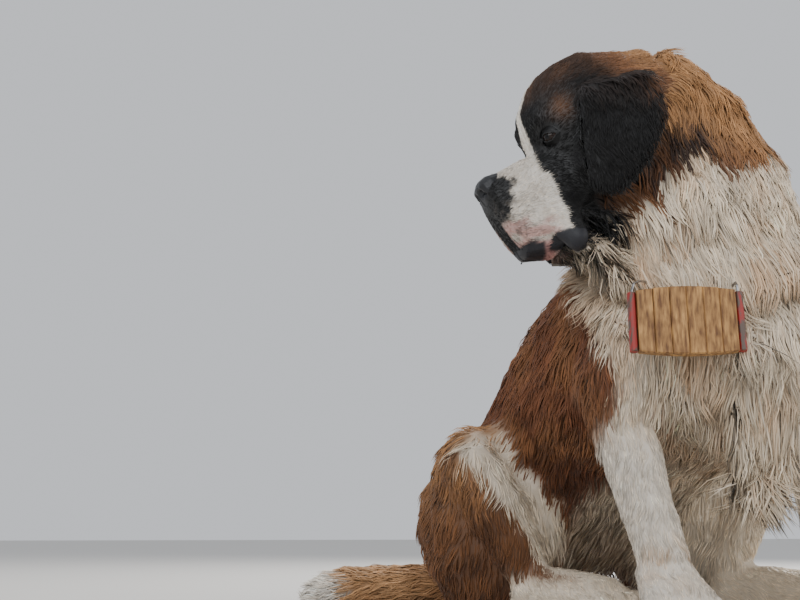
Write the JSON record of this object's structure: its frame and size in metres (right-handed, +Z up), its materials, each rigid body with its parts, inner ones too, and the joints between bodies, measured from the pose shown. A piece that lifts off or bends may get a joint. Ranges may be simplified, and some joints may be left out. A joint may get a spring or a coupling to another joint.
{
  "type": "saint bernard",
  "caption": "Life-size sitting Saint Bernard with a rough coat, its head turned to its right, wearing a collar with a keg-shaped wooden tag.",
  "frame": {"origin": "middle of the bounding box's base, on the floor the dog sits on", "axes": "+Z up, the dog's chest faces -Y, its left side is +X; its head is turned to its right, to -X"},
  "size_m": [0.738, 0.8096, 0.7983],
  "materials": {
    "coat": "long soft fur",
    "nose": "damp, pebbled",
    "eye": "wet gloss",
    "claw": "horn",
    "collar": "worn",
    "wire": "dull",
    "wood": "weathered, oiled",
    "painted_wood": "worn paint"
  },
  "bodies": {
    "root": {"head": "coat", "lower_jaw": "coat", "nose": "nose", "eye_left": "eye", "eye_right": "eye", "ear_left": "coat", "ear_right": "coat", "neck": "coat", "chest": "coat", "rump": "coat", "foreleg_left": "coat", "forepaw_left": "coat", "thigh_left": "coat", "shank_left": "coat", "hindfoot_left": "coat", "fore_claw_left_1": "claw", "fore_claw_left_2": "claw", "fore_claw_left_3": "claw", "fore_claw_left_4": "claw", "hind_claw_left_1": "claw", "hind_claw_left_2": "claw", "hind_claw_left_3": "claw", "hind_claw_left_4": "claw", "foreleg_right": "coat", "forepaw_right": "coat", "thigh_right": "coat", "shank_right": "coat", "hindfoot_right": "coat", "fore_claw_right_1": "claw", "fore_claw_right_2": "claw", "fore_claw_right_3": "claw", "fore_claw_right_4": "claw", "hind_claw_right_1": "claw", "hind_claw_right_2": "claw", "hind_claw_right_3": "claw", "hind_claw_right_4": "claw", "tail_base": "coat", "tail_tip": "coat", "collar": "collar", "hanger_left": "wire", "hanger_right": "wire", "tag_board": "wood", "tag_slat_1": "wood", "tag_slat_2": "wood", "tag_slat_3": "wood", "tag_slat_4": "wood", "tag_slat_5": "wood", "tag_slat_6": "wood", "tag_end_left": "painted_wood", "tag_end_right": "painted_wood"}
  },
  "joints": []
}
